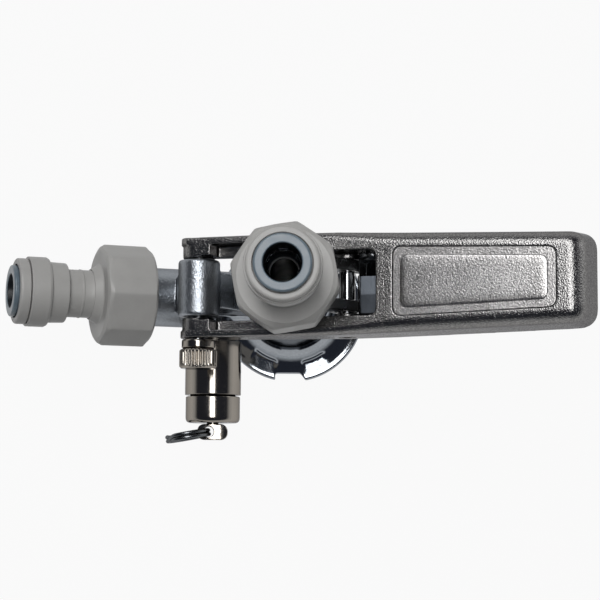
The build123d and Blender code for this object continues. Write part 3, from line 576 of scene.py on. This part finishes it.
# Relief valve
housing = lathe_mesh(
    relief_plane,
    [
        (2.6, 8.6, 0),
        (5.2, 8.6, 0),
        (5.2, 13.45, 0),
        (8.85, 13.45, 0.3),
        (8.85, 30.45, 0.3),
        (7.2, 30.45, 0),
        (7.2, 16.25, 0),
        (2.6, 16.25, 0),
    ],
)
vent_height, vent_radius, vent_half = 22.45, 1.0, 12
vent_plane = axes(relief_plane @ Vector((0, 0, vent_height)), (0, 1, 0), (1, 0, 0))
vent_wall = [(vent_radius, -vent_half, 0), (vent_radius, vent_half, 0)]
vent = lathe_mesh(vent_plane, [(0, -vent_half, 0), *vent_wall, (0, vent_half, 0)], 32)
add_piece("relief_barrel", combine(housing, vent, "DIFFERENCE"), "coupler", ("relief_housing",))
lathe(
    "relief_end_cap",
    relief_plane,
    [
        (5.05, 26.3, 0),
        (7.15, 26.3, 0),
        (7.15, 30.95, 0),
        (8.6, 30.95, 0.3),
        (8.6, 39.25, 1.7),
        (1.86, 39.25, 0.2),
        (1.86, 35.1, 0),
        (5.05, 35.1, 0),
    ],
    "coupler",
    ("relief_cap",),
)
melted_node("relief_stem", "relief_stem", 0.16, 3, relief_plane)


# Dark steel for the split ring; the same colour on the sheet under the lock is painted shade.
ring_and_shade_steel = surface(
    "dark_steel_and_painted_shade", (0.12, 0.125, 0.13), 1.0, (0.2, 0.28), (1500, 0.04), 0.3, vary=0.08, **worn_edge
)
# Dark bluish grey for the lock's block, much darker than the other steel.
dark_bluish_block_colour = surface(
    "dark_bluish_grey_steel", (0.125, 0.14, 0.16), 1.0, (0.36, 0.42), (1500, 0.05), 0.4, vary=0.06, **worn_edge
)


def split_ring():
    """The pull ring: two turns of wire side by side."""
    wire, radius, shift, cross_over = 0.65, 6.6, 0.62, radians(50)
    rest = radians(10.6)
    way = Vector((-cos(rest), -sin(rest), 0))
    hole = Vector((-25.3, -42.05, relief_z))
    plane = axes(hole + way * radius, way, way.cross(Vector((0, 0, 1))))
    steps, around = 200, 14
    start = radians(35)
    verts = []
    for i in range(steps + 1):
        turned = 4 * pi * i / steps
        t = min(1, max(0, (turned - 2 * pi + cross_over / 2) / cross_over))
        side = shift * (2 * t * t * (3 - 2 * t) - 1)
        angle = start + turned
        taper = wire * min(1.0, 0.35 + 3 * min(i, steps - i) / steps * 10)
        out = Vector((cos(angle), sin(angle), 0))
        for k in range(around):
            a = 2 * pi * k / around
            verts.append(out * (radius + taper * cos(a)) + Vector((0, 0, side + taper * sin(a))))
    ends = [list(range(around)), list(range(steps * around, (steps + 1) * around))]
    mesh = to_mesh(verts, skin(steps, around) + ends, plane)
    add_piece("split_ring", mesh, "pull_ring", ("pull_ring",), material=ring_and_shade_steel)


split_ring()


# Hinge: spacer and knurled nut
def knurl(r, h, angle):
    """Rounded grooves along the nut, which fade out at both ends."""
    low, high, fade = 18.5, 23.5, 0.4
    teeth, depth, inside = 30, 0.42, 4.5
    ends = min(1.0, max(0.0, min(h - low, high - h) / fade))
    if r < inside:
        return r
    return r - depth * ends * (0.5 - 0.5 * cos(teeth * angle)) ** 1.4


lathe(
    "knurled_nut",
    hinge_plane,
    [
        (3.05, 18.25, 0),
        (5.1, 18.25, 0.2),
        (5.65, 18.75, 0.2),
        (5.65, 19.5, 0),
        (5.65, 21.2, 0),
        (5.65, 22.6, 0),
        (5.65, 23.4, 0.25),
        (5.1, 24.05, 0.3),
        (0, 24.05, 0),
        (0, 23.05, 0),
        (3.05, 23.05, 0),
    ],
    "coupler",
    ("hinge_nut",),
    sides=480,
    shape=knurl,
    material=finish["nickel"],
)
lathe(
    "hinge_collar",
    hinge_plane,
    [
        (3.05, 15.4, 0),
        (4.8, 15.4, 0.2),
        (5.0, 15.9, 0.3),
        (5.0, 17.7, 0.4),
        (4.5, 18.2, 0.3),
        (3.05, 18.2, 0),
    ],
    "coupler",
    ("hinge_spacer",),
    material=finish["nickel"],
)

# Castings with softened edges
foot_rim, foot_end, land, step_height, slope = 23.0, 17.9, 4.2, 3, 0.12
notch_middle, notch_reach, step_reach = radians(92), radians(14), radians(38)


def flattened_foot():
    """The coupler's body with a flatter step on its flange at both sides of each bayonet notch."""
    mesh = frame["nodes"]["coupler_body"].data.copy()
    for v in mesh.vertices:
        r, z = hypot(v.co.x, v.co.y) / MM, v.co.z / MM
        from_notch = abs(abs(atan2(v.co.y, v.co.x)) - notch_middle)
        on_step = notch_reach < from_notch < step_reach
        if on_step and foot_end < r < foot_rim and land < z < land + step_height:
            v.co.z = (land + slope * (foot_rim - r)) * MM
    return mesh


add_piece("coupler_body_cast", melt(flattened_foot(), 0.32, 4), "coupler", ("coupler_body",))
probe = melted_node("probe", "probe", 0.3, 3)
# The wall of the probe's chrome bore gets painted shade.
paint_bore_shade(probe, beer_plane, 5.0)
melted_node("lock_slider", "lock", 0.16, 4, lever_plane, dark_bluish_block_colour)


# Lever: x runs from the hinge to the grip, y across and z up from the hinge
eye_radius = 4.9
rim_eye_radius = 5.4
arm_half, shelf_half, fork_half = 15.1, 12.9, 9.6
fork_depth = 56.4
lever_top, lever_low = 4.9, -11.2
pin_x, pin_z = 44.6, -6.4
plate_floor = 3.9


def lever_outline(end, half, corner):
    """Points of the lever's plan outline, from one eye round the grip's end to the other eye."""
    start = -9.8
    points = []

    def run(a, b, count):
        for k in range(count):
            points.append(a.lerp(b, k / count))

    slant = (Vector((end, -half)) - Vector((pin_x, -arm_half))).normalized()
    near = Vector((end, -half)) - slant * corner
    far = Vector((end, -half + corner))
    run(Vector((start, -arm_half)), Vector((pin_x, -arm_half)), 40)
    run(Vector((pin_x, -arm_half)), near, 50)
    corner_steps = 12
    for k in range(corner_steps):
        t = k / corner_steps
        points.append((1 - t) ** 2 * near + 2 * t * (1 - t) * Vector((end, -half)) + t**2 * far)
    run(far, Vector((end, 0)), 10)
    return points + [Vector((end, 0))] + [Vector((p.x, -p.y)) for p in reversed(points)]


def lever_shell():
    """The lever's outer form. Its top edge is rolled with a radius that grows towards the grip."""
    top, low = lever_top, lever_low
    above = lever_outline(115.8, 12.6, 4.6)
    below = lever_outline(119.3, 13.9, 5.9)
    roll_start, roll_run, least_roll, roll_growth = 22, 45, 0.9, 2.9
    count = len(above)
    levels = 9
    rings = [[] for _ in range(levels + 2)]
    for i in range(count):
        p, q = above[i], below[i]
        along = above[min(i + 1, count - 1)] - above[max(i - 1, 0)]
        inward = Vector((-along.y, along.x)).normalized()
        t = min(1.0, max(0.0, (p.x - roll_start) / roll_run))
        roll = least_roll + roll_growth * t * t * (3 - 2 * t)

        def wall(z):
            return q.lerp(p, (z - low) / (top - low))

        rings[0].append((*wall(low), low))
        rings[1].append((*wall((low + top - roll) / 2), (low + top - roll) / 2))
        for k in range(levels):
            a = pi / 2 * k / (levels - 1)
            z = top - roll * (1 - sin(a))
            spot = wall(z) + inward * roll * (1 - cos(a))
            rings[k + 2].append((spot.x, spot.y, z))
    verts = [v for ring in rings for v in ring]
    ends = [list(range(count)), list(range(len(verts) - 1, len(verts) - count - 1, -1))]
    return to_mesh(verts, ends + skin(len(rings) - 1, count), lever_plane)


lever_side = axes((hinge_x, 0, hinge_z), (cos(lever_rest), 0, sin(lever_rest)), (0, -1, 0))


def arc(cx, cy, radius, start, end, steps):
    """Corner points, without rounding, along an arc given in degrees."""
    angles = [radians(start + (end - start) * k / steps) for k in range(steps + 1)]
    return [(cx + radius * cos(a), cy + radius * sin(a), 0) for a in angles]


def bar(plane, x0, x1, y0, y1, low, high, corner=0.0):
    """A box on a plane, with its four upright edges rounded."""
    outline = [(x0, y0, corner), (x1, y0, corner), (x1, y1, corner), (x0, y1, corner)]
    return prism_mesh(plane, outline, low, high)


def disc(x, y, radius, low, high):
    """A round bar square to the lever's side."""
    return prism_mesh(lever_side, arc(x, y, radius, 0, 352.5, 47), low, high)


def lever_cuts():
    """What is taken out of the lever: fork, shelves, slot, bores, the bays under the grip and the pocket."""
    beyond = 30    # past the lever on either side
    eye_room = arc(0, 0, eye_radius, 270, 90, 36)
    around_eyes = [(0, 12, 0), (-14, 12, 0), (-14, -12, 0), (0, -12, 0)] + eye_room
    cuts = [
        bar(lever_plane, -20, fork_depth, -fork_half, fork_half, -25, 25, 2.5),
        prism_mesh(lever_side, around_eyes, -shelf_half, shelf_half),
        bar(lever_plane, 5.2, 34.3, -shelf_half, shelf_half, -2.3, 10, 0.8),
        bar(lever_side, 54, 58.97, -5.06, -2.94, -fork_half, fork_half),
        disc(pin_x, pin_z, 2.45, -beyond, beyond),
        disc(0, 0, 3.1, -beyond, beyond),
        disc(0, 0, 4.05, -20, -13.4),
    ]
    bay_start, bay_end, bay_half, bay_top, bays = 62.0, 112.8, 8.6, 1.2, 3
    rib, spine_half = 2.0, 1.0
    length = (bay_end - bay_start - (bays - 1) * rib) / bays
    width = bay_half - spine_half
    for k in range(bays):
        x0 = bay_start + k * (length + rib)
        for y0 in (-bay_half, spine_half):
            cuts.append(bar(lever_plane, x0, x0 + length, y0, y0 + width, -20, bay_top, 1.0))
    pocket = [(61.4, -10.1, 2.6), (108.6, -8.55, 2.6), (108.6, 8.55, 2.6), (61.4, 10.1, 2.6)]
    cuts.append(prism_mesh(lever_plane, pocket, plate_floor, 8))
    return cuts


def make_lever():
    side = arc(0, 0, rim_eye_radius, 65, 270, 40) + [
        (8, -5.9, 3),
        (pin_x, lever_low, 8),
        (61.4, lever_low, 8),
        (125, -7.2, 0),
        (125, 6, 0),
        (4, 6, 0),
    ]
    shell = combine(lever_shell(), prism_mesh(lever_side, side, -20, 20), "INTERSECT")
    for cut in lever_cuts():
        shell = combine(shell, cut, "DIFFERENCE")
    bosses = []
    for sign in (-1, 1):
        bosses.append(disc(pin_x, pin_z, 3.8, *sorted((sign * 8.05, sign * 11))))
        bosses.append(disc(0, 0, 4.85, *sorted((sign * 8.95, sign * 11))))
    mesh = melt(joined(shell, *bosses), 0.27, 4, lever_plane)
    add_piece("lever_casting", mesh, "lever", ("handle",))


make_lever()


def make_shade_sheet():
    """A dark steel sheet under the lock's block, shaped round the probe's ears, put there as painted shade
    seen through the lever's window.
    """
    low, top = -9.3, -7.9
    corner = 0.3
    shade_sheet = bar(lever_plane, 49.75, 56.3, -9.5, 9.5, low, top, corner)
    # Each of these overlaps the sheet and shares no face with it, since a union can lose shared faces.
    tongues = [
        bar(lever_plane, 47.4, 50.2, -3.5, 3.5, low + 0.1, top - 0.1, corner),
        bar(lever_plane, 48.7, 50.2, -9.4, -8.4, low + 0.1, top - 0.1, corner),
        bar(lever_plane, 48.7, 50.2, 8.4, 9.4, low + 0.1, top - 0.1, corner),
    ]
    lip = bar(lever_plane, 49.72, 49.98, -9.3, 9.3, low + 0.4, -0.9)
    stop = bar(lever_plane, 50.1, 56.2, 7.2, 9.45, low + 0.4, -0.6, corner)
    for other in (*tongues, lip, stop):
        shade_sheet = combine(shade_sheet, other, "UNION")
    # The sheet's dark colour is painted shade.
    add_piece("shade_sheet_under_lock", shade_sheet, "lever", slot_name="steel", material=ring_and_shade_steel)


make_shade_sheet()


def label_badge():
    """The bare plate in the pocket, raised to a low dome. Its steps are (inset, height)."""
    steps = [(0.0, 4.5), (0.05, 4.58), (0.14, 4.62), (0.2, 4.62), (2.08, 4.62), (2.14, 4.62)]
    steps += [(2.2, 4.68), (2.3, 4.75), (2.45, 4.82), (2.7, 4.88), (3.1, 4.93), (3.8, 4.97), (4.8, 4.99)]
    rings = []
    near, far, near_half, far_half, corner = 61.5, 108.5, 10.0, 8.45, 2.5
    for inset, height in steps:
        outline = [
            (near + inset, -near_half + inset, corner),
            (far - inset, -far_half + inset, corner),
            (far - inset, far_half - inset, corner),
            (near + inset, near_half - inset, corner),
        ]
        rings.append([(p.x, p.y, height) for p in soften(outline, 8, 0.02)])
    count = len(rings[0])
    rings.insert(0, [(x, y, plate_floor + 0.05) for x, y, z in rings[0]])
    verts = [v for ring in rings for v in ring]
    ends = [list(range(count)), list(range(len(verts) - count, len(verts)))]
    mesh = to_mesh(verts, ends + skin(len(rings) - 1, count), lever_plane)
    add_piece("blank_badge", mesh, "lever", ("label_plate",), material=badge_finish)


badge_finish = surface(
    "domed_badge",
    (0.30, 0.292, 0.288),
    1.0,
    (0.28, 0.34),
    (2100, 0.09),
    1.0,
    vary=0.42,
    speck=0.9,
    **{"Coat Weight": 0.35, "Coat Roughness": 0.12, "Coat IOR": 1.5},
)
label_badge()


# Floor, world and lamps
def make_studio():
    """A plain pale floor, a soft world that is pale at the horizon, and soft lamps."""
    mesh = bpy.data.meshes.new("floor")
    half = 3.0
    corners = [(-half, -half, 0), (half, -half, 0), (half, half, 0), (-half, half, 0)]
    mesh.from_pydata(corners, [], [(0, 1, 2, 3)])
    floor = bpy.data.objects.new("floor", mesh)
    bpy.context.scene.collection.objects.link(floor)
    m = bpy.data.materials.new("floor")
    m.use_nodes = True
    n = Nodes(m.node_tree)

    def seen():
        """1 for rays that show the floor or the world, and 0 for the light they give."""
        rays = n.add("ShaderNodeLightPath").outputs
        some = n.math("MAXIMUM", rays["Is Camera Ray"], rays["Is Glossy Ray"])
        return n.math("MAXIMUM", some, rays["Is Transmission Ray"])

    share = n.math("MULTIPLY", seen(), 0.94)
    matt = n.add("ShaderNodeBsdfDiffuse", {"Color": (0.22, 0.22, 0.22, 1)}).outputs[0]
    glow = n.add("ShaderNodeEmission", {"Color": (1, 1, 1, 1), "Strength": 1.0}).outputs[0]
    mix = n.add("ShaderNodeMixShader", {0: share, 1: matt, 2: glow}).outputs[0]
    n.add("ShaderNodeOutputMaterial", {"Surface": mix})
    mesh.materials.append(m)

    world = bpy.data.worlds.new("studio")
    bpy.context.scene.world = world
    world.use_nodes = True
    n = Nodes(world.node_tree)
    way = n.add("ShaderNodeTexCoord").outputs["Generated"]
    up = n.add("ShaderNodeSeparateXYZ", {0: way}).outputs["Z"]
    mirrored = n.ramp(up, (0.80, 0.81, 0.82), (0.04, 0.045, 0.06), 0.14, 0.42)
    soft = n.ramp(up, (0.05, 0.055, 0.06), (0.26, 0.265, 0.27), 0.0, 1.0)
    sky = n.add("ShaderNodeMix", {0: seen(), 6: soft, 7: mirrored}, data_type="RGBA").outputs[2]
    light = n.add("ShaderNodeBackground", {"Color": sky, "Strength": 1.0}).outputs[0]
    n.add("ShaderNodeOutputWorld", {"Surface": light})

    lamps = [
        ("top", (-0.10, 0.28, 1.00), 0.33, 1.10, 9.5),
        ("side", (0.80, 0.25, 0.40), 0.20, 0.60, 0.6),
    ]
    for name, where, width, height, power in lamps:
        data = bpy.data.lights.new(name, "AREA")
        data.shape = "RECTANGLE"
        data.size = width
        data.size_y = height
        data.energy = power
        lamp = bpy.data.objects.new(name, data)
        bpy.context.scene.collection.objects.link(lamp)
        lamp.location = where
        aim = Vector((0.02, 0, 0.05)) - Vector(where)
        lamp.rotation_euler = aim.to_track_quat("-Z", "Y").to_euler()


make_studio()
bpy.context.scene.view_settings.view_transform = "Standard"
